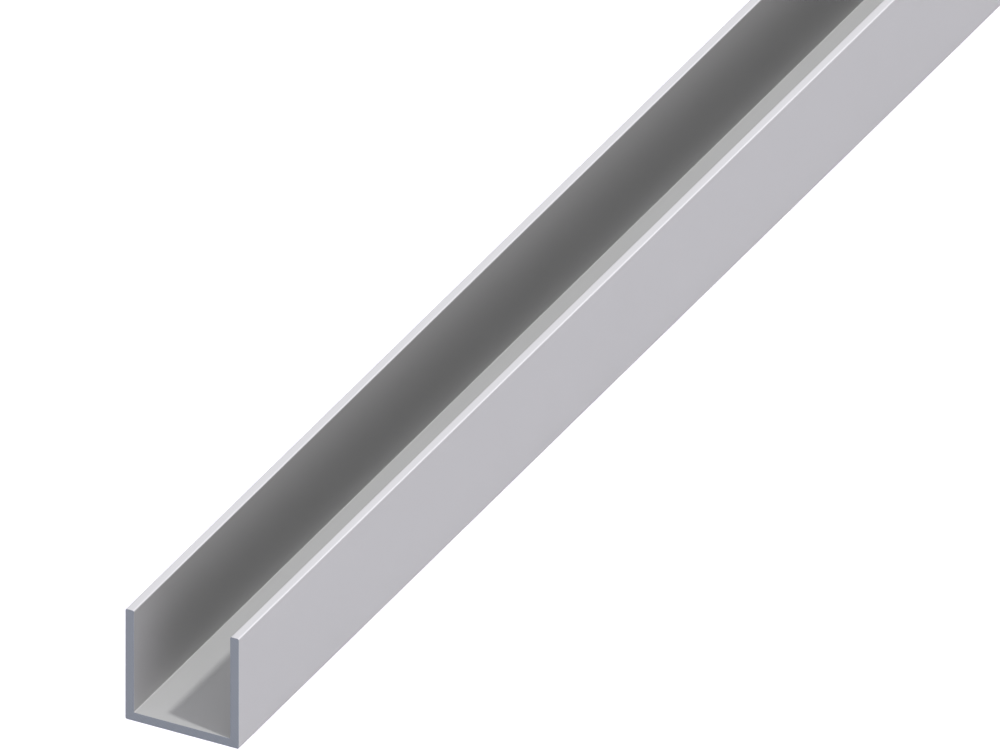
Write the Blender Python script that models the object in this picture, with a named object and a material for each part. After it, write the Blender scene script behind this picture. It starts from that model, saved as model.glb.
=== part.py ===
"""Equal-leg aluminium channel: one straight length of extruded stock.

Metres, +Z up. The channel lies as it rests by itself, with its web on the floor and its flanges
upright. Its length runs along Y, and the origin is the middle of the web's underside.
"""

import math

import bmesh
import bpy
from mathutils import Vector

# Driving dimensions.
LENGTH = 1.000  # a length that such stock is sold in
WIDTH = 0.020  # over the outer faces of the flanges
HEIGHT = 0.020  # from the web's underside to the flanges' tips
FLANGE_THICKNESS = 0.0015
WEB_THICKNESS = 0.0015
EDGE_RADIUS = 0.00025  # the die's rounding of every outer corner and flange tip
ROOT_RADIUS = 0.0001  # the small fillet inside, where a flange meets the web
END_BREAK = 0.00005  # the deburred edge round each sawn end

ARC_STEPS = 6  # straight facets in each quarter turn of the section
BREAK_STEPS = 2  # facets across the deburred edge
WELD_SHARE = 0.02  # of the shortest facet: how near the caps' corners lie to the sides' to be joined
SHARPEST_SMOOTH_ANGLE = math.radians(35)

# Finish of the drawn metal, as linear colour.
ALUMINIUM_COLOUR = (0.60, 0.60, 0.62, 1.0)
ALUMINIUM_ROUGHNESS = 0.45


def clear_scene():
    """Removes whatever the scene holds."""
    for old in list(bpy.data.objects):
        bpy.data.objects.remove(old, do_unlink=True)


def satin_aluminium():
    """Mill-finish aluminium with an even satin surface."""
    material = bpy.data.materials.new("satin_aluminium")
    material.use_nodes = True
    shader = material.node_tree.nodes["Principled BSDF"]
    shader.inputs["Base Color"].default_value = ALUMINIUM_COLOUR
    shader.inputs["Metallic"].default_value = 1.0
    shader.inputs["Roughness"].default_value = ALUMINIUM_ROUGHNESS
    material.diffuse_color = ALUMINIUM_COLOUR
    return material


def corner_arc(before, corner, after, radius):
    """Points of the arc that rounds one corner, from the side it comes from to the side it leaves by."""
    back = (before - corner).normalized()
    ahead = (after - corner).normalized()
    half_angle = back.angle(ahead) / 2
    centre = corner + (back + ahead).normalized() * radius / math.sin(half_angle)
    touch = radius / math.tan(half_angle)
    start = (corner + back * touch - centre).normalized()
    end = (corner + ahead * touch - centre).normalized()
    return [centre + start.slerp(end, step / ARC_STEPS) * radius for step in range(ARC_STEPS + 1)]


def channel_section():
    """Outline of the section, with its corners rounded: X across, Y up from the web's underside."""
    tip_radius = min(EDGE_RADIUS, 0.45 * FLANGE_THICKNESS)
    heel_radius = min(EDGE_RADIUS, 0.45 * FLANGE_THICKNESS, 0.45 * WEB_THICKNESS)
    outer, inner = WIDTH / 2, WIDTH / 2 - FLANGE_THICKNESS
    right_half = [
        (outer, 0.0, heel_radius),
        (outer, HEIGHT, tip_radius),
        (inner, HEIGHT, tip_radius),
        (inner, WEB_THICKNESS, ROOT_RADIUS),
    ]
    left_half = [(-x, y, radius) for x, y, radius in reversed(right_half)]
    corners = right_half + left_half
    points = []
    for i, (x, y, radius) in enumerate(corners):
        before = Vector(corners[i - 1][:2])
        after = Vector(corners[(i + 1) % len(corners)][:2])
        points += corner_arc(before, Vector((x, y)), after, radius)
    return points


def extruded_curve(name, outline, length, edge_break):
    """A flat closed outline extruded to a length, with a small rounded edge round both ends."""
    curve = bpy.data.curves.new(name, "CURVE")
    curve.dimensions = "2D"
    curve.fill_mode = "BOTH"
    curve.extrude = length / 2 - edge_break
    curve.bevel_depth = edge_break
    curve.bevel_resolution = BREAK_STEPS - 1
    curve.offset = -edge_break
    spline = curve.splines.new("POLY")
    spline.points.add(len(outline) - 1)
    for point, place in zip(spline.points, outline):
        point.co = (place.x, place.y, 0.0, 1.0)
    spline.use_cyclic_u = True
    return bpy.data.objects.new(name, curve)


def welded_mesh(curve_object, name, shortest_facet):
    """The curve's surface as one closed mesh, shaded smooth round its small radii."""
    graph = bpy.context.evaluated_depsgraph_get()
    mesh = bpy.data.meshes.new_from_object(curve_object.evaluated_get(graph))
    mesh.name = name
    work = bmesh.new()
    work.from_mesh(mesh)
    bmesh.ops.remove_doubles(work, verts=work.verts, dist=WELD_SHARE * shortest_facet)
    bmesh.ops.recalc_face_normals(work, faces=work.faces)
    work.to_mesh(mesh)
    work.free()
    mesh.shade_smooth()
    mesh.set_sharp_from_angle(angle=SHARPEST_SMOOTH_ANGLE)
    return mesh


def make_channel(collection):
    """The channel itself: its section extruded along Y, the web on the floor."""
    guide = extruded_curve("channel_curve", channel_section(), LENGTH, END_BREAK)
    collection.objects.link(guide)
    guide.rotation_euler = (math.radians(90), 0.0, 0.0)
    bpy.context.view_layer.update()
    mesh = welded_mesh(guide, "channel", END_BREAK / BREAK_STEPS)
    channel = bpy.data.objects.new("channel", mesh)
    channel.matrix_world = guide.matrix_world.copy()
    channel.data.materials.clear()
    channel.data.materials.append(satin_aluminium())
    collection.objects.link(channel)
    bpy.data.objects.remove(guide, do_unlink=True)
    return channel


def main():
    clear_scene()
    collection = bpy.data.collections.new("channel_section")
    bpy.context.scene.collection.children.link(collection)
    make_channel(collection)
    bpy.context.view_layer.update()


main()
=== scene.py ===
"""Looks of a straight length of aluminium channel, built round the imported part.

One piece of extruded stock lies on a white studio floor. The skin that the die leaves is satin
and carries faint lines along its length, and the two ends are sawn square and deburred.
Everything is in metres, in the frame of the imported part: X across the channel, Y along it, Z up.
Sizes whose names end in _mm are in millimetres.
"""

from __future__ import annotations

import logging
import math
from collections.abc import Callable
from dataclasses import dataclass, field
from enum import Enum
from functools import partial

import bpy
import numpy as np
from mathutils import Matrix, Vector


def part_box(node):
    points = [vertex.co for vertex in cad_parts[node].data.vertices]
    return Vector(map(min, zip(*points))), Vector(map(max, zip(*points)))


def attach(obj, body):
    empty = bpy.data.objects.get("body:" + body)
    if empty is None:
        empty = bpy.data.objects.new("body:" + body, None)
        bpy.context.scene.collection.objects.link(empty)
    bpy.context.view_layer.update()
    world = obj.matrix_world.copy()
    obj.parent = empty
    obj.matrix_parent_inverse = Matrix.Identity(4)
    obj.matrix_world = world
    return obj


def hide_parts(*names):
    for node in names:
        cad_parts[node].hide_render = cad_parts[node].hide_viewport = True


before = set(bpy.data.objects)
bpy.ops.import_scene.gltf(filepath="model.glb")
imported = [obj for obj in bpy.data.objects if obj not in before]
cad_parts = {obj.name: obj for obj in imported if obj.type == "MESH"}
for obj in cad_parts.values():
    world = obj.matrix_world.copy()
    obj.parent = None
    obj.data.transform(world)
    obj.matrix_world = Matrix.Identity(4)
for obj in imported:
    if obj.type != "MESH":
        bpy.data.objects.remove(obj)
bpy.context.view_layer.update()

MM = 0.001
CHANNEL_NODE = "channel"
STOCK_UV = "stock_metres"  # metres along the stock and round its section
WAVE_TEXTURE_PERIOD = 0.1 * math.pi  # how far apart a wave texture's rings lie at scale 1

log = logging.getLogger("channel_scene")


def linear_colour(hex_code: str) -> tuple[float, float, float, float]:
    """Turns an sRGB hex colour into the linear numbers that a shader takes.

    Args:
        hex_code: Six hex digits, such as "c8c9cd".

    Returns:
        Red, green, blue and an alpha of 1, each channel linear.
    """
    srgb = np.array([int(hex_code[i : i + 2], 16) for i in (0, 2, 4)]) / 255.0
    linear = np.where(srgb <= 0.04045, srgb / 12.92, ((srgb + 0.055) / 1.055) ** 2.4)
    return (*(float(value) for value in linear), 1.0)


def add_node(
    tree: bpy.types.NodeTree,
    kind: str,
    inputs: dict[str | int, object] | None = None,
    links: dict[str | int, bpy.types.NodeSocket] | None = None,
    **settings: object,
) -> bpy.types.Node:
    """Adds a node with its settings, the values of its sockets and its links.

    Args:
        tree: The node tree that gets it.
        kind: The node's type, such as "ShaderNodeTexNoise".
        inputs: Values by socket name or number.
        links: Output sockets by the name or number of the input that each feeds.
        **settings: The node's own attributes.

    Returns:
        The new node.
    """
    node = tree.nodes.new(kind)
    for name, value in settings.items():
        setattr(node, name, value)
    for socket, value in (inputs or {}).items():
        node.inputs[socket].default_value = value
    for socket, source in (links or {}).items():
        tree.links.new(source, node.inputs[socket])
    return node


def mesh_object(
    name: str,
    points: np.ndarray,
    quads: np.ndarray,
    uvs: np.ndarray | None = None,
    slots: np.ndarray | None = None,
) -> bpy.types.Object:
    """Puts whole arrays of points and quads into a new smooth-shaded mesh object.

    Args:
        name: The object's and mesh's name.
        points: One row of x, y, z for each vertex, in metres.
        quads: One row of four vertex numbers for each face, anticlockwise from outside.
        uvs: One row of u, v for each corner of each face, in metres.
        slots: The material slot of each face.

    Returns:
        The object, at the origin and linked to the scene.
    """
    mesh = bpy.data.meshes.new(name)
    mesh.from_pydata(points.tolist(), [], quads.tolist())
    if uvs is not None:
        layer = mesh.uv_layers.new(name=STOCK_UV)
        layer.uv.foreach_set("vector", np.ascontiguousarray(uvs, dtype=np.float32).ravel())
    if slots is not None:
        mesh.polygons.foreach_set("material_index", slots.astype(np.int32))
    mesh.shade_smooth()
    mesh.update()
    made = bpy.data.objects.new(name, mesh)
    bpy.context.scene.collection.objects.link(made)
    return made


def matt_metal(
    name: str, roughness: float, pattern: Callable[[bpy.types.NodeTree], dict[str, bpy.types.NodeSocket]]
) -> bpy.types.Material:
    """Makes a bare metal whose reflections are wide and end softly, as on an etched surface.

    Beckmann's spread of tiny facets has no long tails, so faces that look away from the light
    stay dark, as they do on etched aluminium.

    Args:
        name: The material's name.
        roughness: How wide the reflections are.
        pattern: Adds the finish's own nodes, and names the output that feeds each input.

    Returns:
        The material.
    """
    made = bpy.data.materials.new(name)
    made.use_nodes = True
    tree = made.node_tree
    tree.nodes.clear()
    metal = add_node(
        tree,
        "ShaderNodeBsdfMetallic",
        distribution="BECKMANN",
        inputs={"Edge Tint": (1.0, 1.0, 1.0, 1.0), "Roughness": roughness},
        links=pattern(tree),
    )
    add_node(tree, "ShaderNodeOutputMaterial", links={"Surface": metal.outputs["BSDF"]})
    return made


@dataclass(frozen=True)
class SatinExtrusion:
    """Natural aluminium, extruded, etched matt and anodised.

    The etch gives an even satin with a wide soft reflection. The die leaves faint lines along
    the length, and the tone wanders a little over the surface. The flanges' tips are painted
    lighter: a painted highlight that stands in for the light the open tops catch.
    """

    colour: str = "a9a9a9"
    worn_colour: str = "a7a7a7"
    tip_highlight_colour: str = "c0bfc2"
    highlight_band_mm: tuple[float, float] = (0.22, 0.08)  # below the tip: where the painted highlight starts and is full
    roughness: float = 0.85
    line_spacing_mm: float = 0.35  # real die lines are finer: drawn coarser so that they show
    line_length_mm: float = 400.0
    line_depth_mm: float = 0.002
    line_octaves: float = 3.0  # finer lines within the lines
    line_grit: float = 0.6  # how strong those finer lines are
    cloud_size_mm: float = 14.0
    cloud_octaves: float = 2.0

    def pattern(self, tree: bpy.types.NodeTree, tip_height: float) -> dict[str, bpy.types.NodeSocket]:
        """Adds the die lines, the wandering tone and the painted highlight on the tips.

        Args:
            tree: The material's node tree.
            tip_height: How high the flanges' tips lie.

        Returns:
            The outputs for the base colour and the normal.
        """
        along = add_node(tree, "ShaderNodeUVMap", uv_map=STOCK_UV)
        stretch = add_node(
            tree,
            "ShaderNodeMapping",
            inputs={"Scale": (1 / (self.line_length_mm * MM), 1 / (self.line_spacing_mm * MM), 1)},
            links={"Vector": along.outputs["UV"]},
        )
        lines = add_node(
            tree,
            "ShaderNodeTexNoise",
            inputs={"Scale": 1.0, "Detail": self.line_octaves, "Roughness": self.line_grit},
            links={"Vector": stretch.outputs["Vector"]},
        )
        place = add_node(tree, "ShaderNodeTexCoord")
        clouds = add_node(
            tree,
            "ShaderNodeTexNoise",
            inputs={"Scale": 1 / (self.cloud_size_mm * MM), "Detail": self.cloud_octaves},
            links={"Vector": place.outputs["Object"]},
        )
        tone = add_node(
            tree,
            "ShaderNodeMix",
            data_type="RGBA",
            inputs={6: linear_colour(self.colour), 7: linear_colour(self.worn_colour)},
            links={0: clouds.outputs["Fac"]},
        )
        height = add_node(tree, "ShaderNodeSeparateXYZ", links={0: place.outputs["Object"]})
        # painted highlight: the flanges' tips are coloured lighter than the rest of the skin, standing in
        # for the light their open tops catch
        highlight_mask = add_node(
            tree,
            "ShaderNodeMapRange",
            interpolation_type="SMOOTHSTEP",
            inputs={
                "From Min": tip_height - self.highlight_band_mm[0] * MM,
                "From Max": tip_height - self.highlight_band_mm[1] * MM,
            },
            links={"Value": height.outputs["Z"]},
        )
        with_painted_highlight = add_node(
            tree,
            "ShaderNodeMix",
            data_type="RGBA",
            inputs={7: linear_colour(self.tip_highlight_colour)},
            links={0: highlight_mask.outputs["Result"], 6: tone.outputs[2]},
        )
        relief = add_node(
            tree,
            "ShaderNodeBump",
            inputs={"Strength": 1.0, "Distance": self.line_depth_mm * MM},
            links={"Height": lines.outputs["Fac"]},
        )
        return {"Base Color": with_painted_highlight.outputs[2], "Normal": relief.outputs["Normal"]}

    def material(self, tip_height: float) -> bpy.types.Material:
        """Makes the skin's material for a channel whose flanges' tips lie at a given height."""
        pattern = partial(self.pattern, tip_height=tip_height)
        return matt_metal("etched_anodised_aluminium", self.roughness, pattern)


@dataclass(frozen=True)
class SawnEnd:
    """Bare aluminium as a fine-toothed circular saw leaves it, with its saw marks.

    Its colour, darker and bluer than the skin's, is painted shade on the ends.
    """

    # painted shade: the ends are coloured darker and bluer than the skin, standing in for the shade on
    # them
    colour: str = "7b8086"
    mark_colour: str = "787d83"
    roughness: float = 0.85
    tooth_pitch_mm: float = 0.45
    mark_depth_mm: float = 0.004
    mark_wander: float = 0.4  # how far the marks stray from true arcs
    wander_octaves: float = 2.0
    wander_scale: float = 0.3
    blade_centre_mm: tuple[float, float] = (-90.0, -85.0)  # where the blade's axis was, in x and z

    def pattern(self, tree: bpy.types.NodeTree) -> dict[str, bpy.types.NodeSocket]:
        """Adds the saw's arcs, which are rings round the blade's axis.

        Args:
            tree: The material's node tree.

        Returns:
            The outputs for the base colour and the normal.
        """
        place = add_node(tree, "ShaderNodeTexCoord")
        centre_x, centre_z = (value * MM for value in self.blade_centre_mm)
        round_axis = add_node(
            tree,
            "ShaderNodeMapping",
            inputs={"Location": (-centre_x, 0.0, -centre_z), "Scale": (1.0, 0.0, 1.0)},
            links={"Vector": place.outputs["Object"]},
        )
        marks = add_node(
            tree,
            "ShaderNodeTexWave",
            wave_type="RINGS",
            rings_direction="SPHERICAL",
            inputs={
                "Scale": WAVE_TEXTURE_PERIOD / (self.tooth_pitch_mm * MM),
                "Distortion": self.mark_wander,
                "Detail": self.wander_octaves,
                "Detail Scale": self.wander_scale,
            },
            links={"Vector": round_axis.outputs["Vector"]},
        )
        tone = add_node(
            tree,
            "ShaderNodeMix",
            data_type="RGBA",
            inputs={6: linear_colour(self.colour), 7: linear_colour(self.mark_colour)},
            links={0: marks.outputs["Fac"]},
        )
        relief = add_node(
            tree,
            "ShaderNodeBump",
            inputs={"Strength": 1.0, "Distance": self.mark_depth_mm * MM},
            links={"Height": marks.outputs["Fac"]},
        )
        return {"Base Color": tone.outputs[2], "Normal": relief.outputs["Normal"]}

    def material(self) -> bpy.types.Material:
        """Makes the cut faces' material."""
        return matt_metal("sawn_aluminium_painted_shade", self.roughness, self.pattern)


@dataclass(frozen=True)
class BacklitAcrylic:
    """Matt white acrylic sheet on a light table, as catalogue shots use.

    The glow from below fills the shadow beside the channel, so the floor reads as a clean white.
    """

    colour: str = "f7f5fc"
    roughness: float = 0.9
    glow: float = 0.24  # what the lamps behind the sheet add to the light that it throws back

    def material(self) -> bpy.types.Material:
        """Makes the floor's material: an even matt white with no pattern and no mirrored light.

        Returns:
            The material.
        """
        made = bpy.data.materials.new("matt_white_acrylic")
        made.use_nodes = True
        shader = made.node_tree.nodes["Principled BSDF"]
        shader.inputs["Base Color"].default_value = linear_colour(self.colour)
        shader.inputs["Roughness"].default_value = self.roughness
        shader.inputs["Specular IOR Level"].default_value = 0.0
        shader.inputs["Emission Color"].default_value = (1.0, 1.0, 1.0, 1.0)
        shader.inputs["Emission Strength"].default_value = self.glow
        return made


class Turn(Enum):
    """Which hand the open air lies on, walking from the left tip down, across and up."""

    OUTSIDE = 1.0  # the air is on the right hand
    INSIDE = -1.0  # the air is on the left hand


@dataclass
class WallLine:
    """One face of the bent wall, as stations from the left flange's tip to the right one's.

    Attributes:
        corners: The four sharp corners that the line passes, in x and z.
        radii: The radius that rounds each of them.
        side: The hand on which the air lies.
        arc_cells: Cells in each quarter turn.
        run_cells: Cells in each straight run.
    """

    corners: np.ndarray
    radii: np.ndarray
    side: Turn
    arc_cells: int
    run_cells: int

    def stations(self) -> tuple[np.ndarray, np.ndarray]:
        """Works out the line's points and the normals that point into the air.

        Each corner is a quarter circle: centre + r (in sin a - out cos a), where in and out are
        the directions of the runs before and after it. Between two quarter circles the points
        run evenly along a straight line, and the normal stays the same.

        Returns:
            Points and unit normals, one row of x and z for each station.
        """
        start_x = -1.0 if self.side is Turn.OUTSIDE else 1.0
        runs = np.diff(self.corners, axis=0)
        runs = runs / np.linalg.norm(runs, axis=1, keepdims=True)
        ways = np.vstack([[start_x, 0.0], runs, [start_x, 0.0]])
        angles = np.linspace(0.0, math.pi / 2, self.arc_cells + 1)[None, :, None]
        into, out = ways[:-1, None, :], ways[1:, None, :]
        radii = self.radii[:, None, None]
        centres = self.corners[:, None, :] + (out - into) * radii
        arcs = centres + radii * (into * np.sin(angles) - out * np.cos(angles))
        hand = self.side.value
        normals = hand * np.stack([ways[:, 1], -ways[:, 0]], axis=1)
        turned = normals[:-1, None, :] * np.cos(angles) + normals[1:, None, :] * np.sin(angles)
        shares = np.linspace(0.0, 1.0, self.run_cells + 1)[None, 1:-1, None]
        lines = arcs[:-1, -1:, :] * (1 - shares) + arcs[1:, :1, :] * shares
        flats = np.broadcast_to(normals[1:-1, None, :], lines.shape)
        points = [arcs[0]]
        facing = [turned[0]]
        for i in range(len(lines)):
            points += [lines[i], arcs[i + 1]]
            facing += [flats[i], turned[i + 1]]
        return np.vstack(points), np.vstack(facing)


@dataclass
class ChannelStock:
    """The whole channel: one extruded skin and its two sawn ends, in a single closed mesh.

    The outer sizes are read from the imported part, and the wall and its radii are the same as
    the part's.
    """

    flange: float = 1.5 * MM
    web: float = 1.5 * MM
    edge_radius: float = 0.25 * MM  # of the outer corners and the flanges' tips
    root_radius: float = 0.10 * MM  # of the fillets inside
    end_break: float = 0.05 * MM  # how far the saw's burr is taken off round each end
    arc_cells: int = 8  # in each quarter turn of the section
    run_cells: int = 144  # in each straight run of the section, so that the die lines show
    wall_cells: int = 12  # across the wall's thickness
    break_cells: int = 4  # across the deburred edge
    length_cells: int = 10
    end_cell: float = 0.05 * MM  # a short cell that keeps the end's turned normals off the long faces
    line_depth: float = 0.0015 * MM  # how far the die lines sink below the face
    line_wavelengths_mm: tuple[float, ...] = (0.62, 0.97, 1.71, 4.3)
    line_shifts: tuple[float, ...] = (0.4, 2.1, 3.7, 5.2)  # radians
    saw_depth: float = 0.003 * MM
    skin: SatinExtrusion = field(default_factory=SatinExtrusion)
    ends: SawnEnd = field(default_factory=SawnEnd)

    def __post_init__(self) -> None:
        """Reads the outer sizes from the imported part."""
        low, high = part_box(CHANNEL_NODE)
        self.low, self.high = np.array(low), np.array(high)

    def wall_lines(self) -> tuple[WallLine, WallLine]:
        """Lays out the outer and the inner face of the wall.

        Returns:
            The outer line and the inner line, with the same number of stations.
        """
        left, right = self.low[0], self.high[0]
        bottom, top = self.low[2], self.high[2]
        outer = np.array([[left, top], [left, bottom], [right, bottom], [right, top]])
        inner = np.array(
            [
                [left + self.flange, top],
                [left + self.flange, bottom + self.web],
                [right - self.flange, bottom + self.web],
                [right - self.flange, top],
            ]
        )
        edge, root = self.edge_radius, self.root_radius
        return (
            WallLine(outer, np.array([edge] * 4), Turn.OUTSIDE, self.arc_cells, self.run_cells),
            WallLine(
                inner, np.array([edge, root, root, edge]), Turn.INSIDE, self.arc_cells, self.run_cells
            ),
        )

    def die_lines(self, distance: np.ndarray) -> np.ndarray:
        """Depth of the die lines at each distance round the section.

        The mean of four sines of unlike wavelengths, raised so that it only ever cuts into the
        face, which keeps the outer sizes as they are.

        Args:
            distance: Metres round the section.

        Returns:
            Metres inwards, from 0 to the full depth.
        """
        wavelengths = np.array(self.line_wavelengths_mm) * MM
        waves = np.sin(2 * math.pi * distance[..., None] / wavelengths + np.array(self.line_shifts))
        return self.line_depth * (1 + waves.mean(axis=-1)) / 2

    def saw_marks(self, points: np.ndarray) -> np.ndarray:
        """Depth of the saw's marks at each point of a sawn end.

        A sine of the distance from the blade's axis, one wave for each tooth, so the marks are
        wide arcs across the end.

        Args:
            points: Rows of x and z.

        Returns:
            Metres into the end, from 0 to the full depth.
        """
        centre = np.array(self.ends.blade_centre_mm) * MM
        reach = np.linalg.norm(points - centre, axis=-1)
        return self.saw_depth * (1 + np.sin(2 * math.pi * reach / (self.ends.tooth_pitch_mm * MM))) / 2

    def build(self) -> bpy.types.Object:
        """Builds the closed skin and ends as one mesh.

        The section is a strip between the outer and the inner line of the wall: its point at
        station i and share j across the wall is (1 - j) outer(i) + j inner(i). That strip closes
        each end, and its border, carried along Y, is the skin. At b (1 - cos a) from an end the
        border lies b (1 - sin a) inside the skin, which rounds the deburred edge by b.

        Returns:
            The channel's object, with its two materials.
        """
        (outer, outer_way), (inner, inner_way) = [line.stations() for line in self.wall_lines()]
        stations, across = len(outer), self.wall_cells + 1
        shares = np.linspace(0.0, 1.0, across)[None, :, None]
        strip = outer[:, None, :] * (1 - shares) + inner[:, None, :] * shares
        facing = outer_way[:, None, :] * (1 - shares) + inner_way[:, None, :] * shares
        numbers = np.arange(stations * across).reshape(stations, across)
        border = np.concatenate(
            [numbers[:, 0], numbers[-1, 1:-1], numbers[::-1, -1], numbers[0, -2:0:-1]]
        )
        rim, way = strip.reshape(-1, 2)[border], facing.reshape(-1, 2)[border]
        way = way / np.linalg.norm(way, axis=1, keepdims=True)
        steps = np.linalg.norm(np.roll(rim, -1, axis=0) - rim, axis=1)
        distance = np.concatenate([[0.0], np.cumsum(steps)])
        rim = rim - way * self.die_lines(distance[:-1])[:, None]

        turn = np.linspace(0.0, math.pi / 2, self.break_cells + 1)
        inset = self.end_break * (1 - np.sin(turn))
        setback = self.end_break * (1 - np.cos(turn))
        first, last = self.low[1] + self.end_break, self.high[1] - self.end_break
        long_cells = np.linspace(first + self.end_cell, last - self.end_cell, self.length_cells + 1)
        middle = np.concatenate([[first], long_cells, [last]])
        places = np.concatenate([self.low[1] + setback[:-1], middle, (self.high[1] - setback[:-1])[::-1]])
        insets = np.concatenate([inset[:-1], np.zeros(len(middle)), inset[:-1][::-1]])

        rings = rim[None, :, :] - way[None, :, :] * insets[:, None, None]
        end_strip = self.end_strip(rings[0], border, strip)
        marks = self.saw_marks(end_strip)
        near = self.placed(end_strip, self.low[1] + marks)
        far = self.placed(end_strip, self.high[1] - marks)
        inside = self.placed(rings[1:-1], np.broadcast_to(places[1:-1, None], rings[1:-1].shape[:2]))
        points = np.vstack([near, far, inside])

        ring_numbers = np.arange(len(inside)).reshape(len(places) - 2, len(border)) + 2 * len(near)
        ring_numbers = np.vstack([border, ring_numbers, border + len(near)])
        quads, slots, uvs = self.faces(numbers, len(near), ring_numbers, points, distance)
        made = mesh_object("channel_stock", points, quads, uvs, slots)
        self.dress(made)
        return made

    def end_strip(self, ring: np.ndarray, border: np.ndarray, strip: np.ndarray) -> np.ndarray:
        """Redraws the section's strip between the points of a ring round it.

        Args:
            ring: The ring's points, in the border's order.
            border: The strip's vertex numbers round its border.
            strip: The strip's own points, by station and share.

        Returns:
            Rows of x and z for every vertex of the strip.
        """
        flat = strip.reshape(-1, 2).copy()
        flat[border] = ring
        grid = flat.reshape(strip.shape)
        shares = np.linspace(0.0, 1.0, strip.shape[1])[None, 1:-1, None]
        grid[:, 1:-1] = grid[:, :1] * (1 - shares) + grid[:, -1:] * shares
        return grid.reshape(-1, 2)

    def placed(self, section: np.ndarray, along: np.ndarray) -> np.ndarray:
        """Puts section points at their places along Y, as flat rows of x, y, z."""
        return np.stack([section[..., 0], along, section[..., 1]], axis=-1).reshape(-1, 3)

    def faces(
        self,
        numbers: np.ndarray,
        end_points: int,
        rings: np.ndarray,
        points: np.ndarray,
        distance: np.ndarray,
    ) -> tuple[np.ndarray, np.ndarray, np.ndarray]:
        """Joins the points into quads, with a slot and a UV corner for each.

        The skin's UV is metres along the stock and metres round its section. An end's is x and z.
        The deburred edges take the ends' material, so the ends' painted shade runs onto them.

        Args:
            numbers: The near strip's vertex numbers, by station and share.
            end_points: How many vertices each end has.
            rings: Vertex numbers of each ring, from the near end to the far one.
            points: All vertices.
            distance: Metres round the section at each point of a ring, and once more at its close.

        Returns:
            Quads, slots (0 for the skin, 1 for the ends) and UV corners.
        """
        near = np.stack([numbers[:-1, :-1], numbers[1:, :-1], numbers[1:, 1:], numbers[:-1, 1:]], -1)
        near = near.reshape(-1, 4)
        far = near[:, ::-1] + end_points
        ahead = np.roll(rings, -1, axis=1)
        skin = np.stack([rings[:-1], rings[1:], ahead[1:], ahead[:-1]], -1)
        round_from = np.broadcast_to(distance[:-1], rings.shape)
        round_to = np.broadcast_to(distance[1:], rings.shape)
        here = np.stack([points[rings, 1], round_from], -1)
        beside = np.stack([points[ahead, 1], round_to], -1)
        skin_uv = np.stack([here[:-1], here[1:], beside[1:], beside[:-1]], axis=2)
        end_quads = np.vstack([near, far])
        end_uv = points[end_quads][:, :, [0, 2]]
        quads = np.vstack([skin.reshape(-1, 4), end_quads])
        uvs = np.vstack([skin_uv.reshape(-1, 2), end_uv.reshape(-1, 2)])
        # painted shade: the deburred edge rings get the ends' darker colour
        end_shade_rows = np.zeros(skin.shape[:2])
        end_shade_rows[: self.break_cells] = 1
        end_shade_rows[-self.break_cells :] = 1
        slots = np.concatenate([end_shade_rows.ravel(), np.ones(len(end_quads))])
        return quads, slots, uvs

    def dress(self, made: bpy.types.Object) -> None:
        """Gives the skin and the ends their materials, painted highlight and painted shade included, and
        puts the piece in the frame.

        Args:
            made: The channel's object.
        """
        made.data.materials.append(self.skin.material(self.high[2]))
        made.data.materials.append(self.ends.material())
        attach(made, "root")
        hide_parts(CHANNEL_NODE)


@dataclass
class PhotoCamera:
    """A parallel-projection camera at the photograph's angle.

    The photograph's long edges are exactly parallel, so it has no perspective. Its angles come
    from the slopes of the channel's edges, and its width from the 20 mm between the flanges'
    outer faces.
    """

    azimuth: float = 27.77
    elevation: float = 30.91
    pixels_per_mm: float = 6.402
    image_width: int = 1000
    image_height: int = 750
    corner_pixel: tuple[float, float] = (125.35, 718.55)  # the near end's lower left corner
    distance: float = 1.6  # far enough to stand clear of the stock: it doesn't change a parallel view
    clip_near: float = 0.01
    clip_far: float = 20.0

    def build(self, corner: Vector) -> bpy.types.Object:
        """Makes the camera so that one corner of the channel lands on its pixel.

        Args:
            corner: The near end's lower left corner, in metres.

        Returns:
            The camera's object.
        """
        turn, lift = math.radians(self.azimuth), math.radians(self.elevation)
        level = math.cos(lift)
        back = Vector((math.sin(turn) * level, -math.cos(turn) * level, math.sin(lift)))
        right = Vector((math.cos(turn), math.sin(turn), 0.0))
        up = back.cross(right)
        per_pixel = MM / self.pixels_per_mm
        across = (self.image_width / 2 - self.corner_pixel[0]) * per_pixel
        above = (self.corner_pixel[1] - self.image_height / 2) * per_pixel
        centre = corner + right * across + up * above
        data = bpy.data.cameras.new("photo_camera")
        data.type = "ORTHO"
        data.ortho_scale = self.image_width * per_pixel
        data.clip_start, data.clip_end = self.clip_near, self.clip_far
        made = bpy.data.objects.new("photo_camera", data)
        place = centre + back * self.distance
        turned = Matrix((right, up, back)).transposed().to_4x4()
        made.matrix_world = Matrix.Translation(place) @ turned
        bpy.context.scene.collection.objects.link(made)
        bpy.context.scene.camera = made
        return made


@dataclass(frozen=True)
class SkyGlow:
    """A wide soft glow in the studio's sky, brightest at its middle and gone at its rim.

    Attributes:
        azimuth: Degrees from +X towards +Y.
        elevation: Degrees above the floor.
        core: Degrees from the middle over which it is full.
        rim: Degrees from the middle at which it is gone.
        strength: What its middle adds to the sky.
        colour: Its tint, as sRGB hex.
    """

    azimuth: float
    elevation: float
    core: float
    rim: float
    strength: float
    colour: str = "ffffff"

    def way(self) -> tuple[float, float, float]:
        """Works out the unit direction towards the glow's middle."""
        turn, lift = math.radians(self.azimuth), math.radians(self.elevation)
        return (math.cos(lift) * math.cos(turn), math.cos(lift) * math.sin(turn), math.sin(lift))


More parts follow.
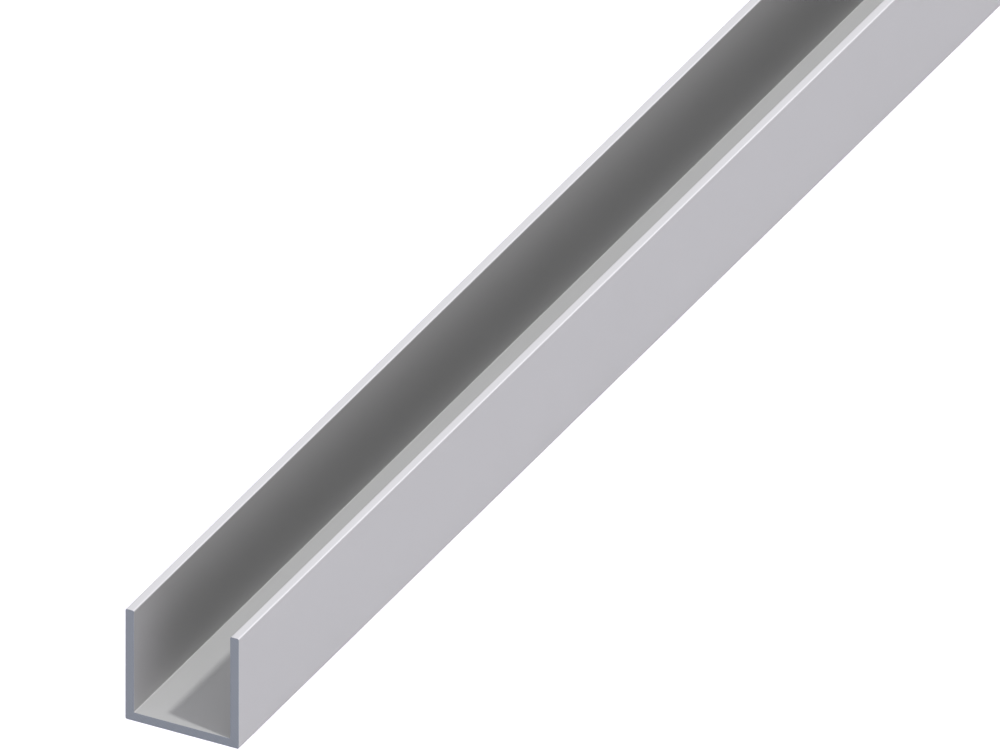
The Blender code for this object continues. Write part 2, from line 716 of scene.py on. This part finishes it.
@dataclass
class Studio:
    """A backlit white floor, an even sky with soft glows in it, and one key from the right.

    The last glow is the white below the horizon, which the floor hides from the channel.
    """

    sky_strength: float = 0.8
    sky_colour: str = "ffffff"
    glows: tuple[SkyGlow, ...] = (
        SkyGlow(270.0, 60.0, 8.0, 40.0, 1.60, "f0f2ff"),
        SkyGlow(0.0, 35.0, 8.0, 40.0, 0.30),
        SkyGlow(315.0, 15.0, 8.0, 35.0, 4.30, "f3eef5"),
        SkyGlow(0.0, -90.0, 90.0, 95.0, 0.4),
    )
    key_direction: tuple[float, float, float] = (0.663, -0.124, 1.0)  # towards the key
    key_angle: float = 3.4  # how wide the key looks from the channel, in degrees
    key_strength: float = 2.84
    key_colour: str = "fffffd"
    floor_half_width: float = 6.0
    floor_drop: float = 0.05 * MM  # keeps the sheet clear of the web's underside
    sheet: BacklitAcrylic = field(default_factory=BacklitAcrylic)

    def build(self, subject: bpy.types.Object) -> bpy.types.Object:
        """Makes the floor, the sky and the key light.

        Args:
            subject: What the key light falls on.

        Returns:
            The floor.
        """
        floor = self.floor()
        self.sky()
        self.key_light(subject)
        return floor

    def floor(self) -> bpy.types.Object:
        """Lays the floor just under the channel.

        Returns:
            The floor's object.
        """
        half = self.floor_half_width
        sides = np.array([[-half, -half], [half, -half], [half, half], [-half, half]])
        points = np.column_stack([sides, np.full(4, -self.floor_drop)])
        made = mesh_object("studio_floor", points, np.array([[0, 1, 2, 3]]))
        made.data.materials.append(self.sheet.material())
        return made

    def sky(self) -> None:
        """Gives the world an even light, and adds the glows to it.

        A glow falls off smoothly with the angle from its middle: its share is a smooth step
        from 0 to 1 as the cosine of that angle rises from the rim's to the core's.
        """
        world = bpy.data.worlds.new("studio_sky")
        world.use_nodes = True
        tree = world.node_tree
        even = tree.nodes["Background"]
        even.inputs["Color"].default_value = linear_colour(self.sky_colour)
        even.inputs["Strength"].default_value = self.sky_strength
        total = even.outputs["Background"]
        way = add_node(tree, "ShaderNodeTexCoord").outputs["Generated"]
        for glow in self.glows:
            nearness = add_node(
                tree,
                "ShaderNodeVectorMath",
                operation="DOT_PRODUCT",
                inputs={1: glow.way()},
                links={0: way},
            )
            strength = add_node(
                tree,
                "ShaderNodeMapRange",
                interpolation_type="SMOOTHSTEP",
                inputs={
                    "From Min": math.cos(math.radians(glow.rim)),
                    "From Max": math.cos(math.radians(glow.core)),
                    "To Max": glow.strength,
                },
                links={"Value": nearness.outputs["Value"]},
            )
            light = add_node(
                tree,
                "ShaderNodeBackground",
                inputs={"Color": linear_colour(glow.colour)},
                links={"Strength": strength.outputs["Result"]},
            )
            both = add_node(
                tree, "ShaderNodeAddShader", links={0: total, 1: light.outputs["Background"]}
            )
            total = both.outputs["Shader"]
        tree.links.new(total, tree.nodes["World Output"].inputs["Surface"])
        bpy.context.scene.world = world

    def key_light(self, subject: bpy.types.Object) -> None:
        """Adds the key: parallel light with a slightly soft edge, as from a far softbox.

        It falls on the subject alone, so the floor stays an even white with no hard shadow.

        Args:
            subject: What the key light falls on.
        """
        way = Vector(self.key_direction).normalized()
        data = bpy.data.lights.new("key_light", "SUN")
        data.energy = self.key_strength
        data.color = linear_colour(self.key_colour)[:3]
        data.angle = math.radians(self.key_angle)
        made = bpy.data.objects.new("key_light", data)
        made.matrix_world = way.to_track_quat("Z", "Y").to_matrix().to_4x4()
        lit = bpy.data.collections.new("lit_by_key")
        lit.objects.link(subject)
        made.light_linking.receiver_collection = lit
        bpy.context.scene.collection.objects.link(made)


def main() -> None:
    """Builds the camera, the channel and the studio, and reports each."""
    logging.basicConfig(level=logging.INFO, format="%(message)s")
    bpy.context.scene.view_settings.view_transform = "Standard"
    low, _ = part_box(CHANNEL_NODE)
    camera = PhotoCamera().build(Vector(low))
    log.info("camera %s at %.4f m wide", camera.name, camera.data.ortho_scale)
    channel = ChannelStock().build()
    log.info("%s: %d faces", channel.name, len(channel.data.polygons))
    floor = Studio().build(channel)
    log.info("%s and its lights", floor.name)


if __name__ == "__main__":
    main()
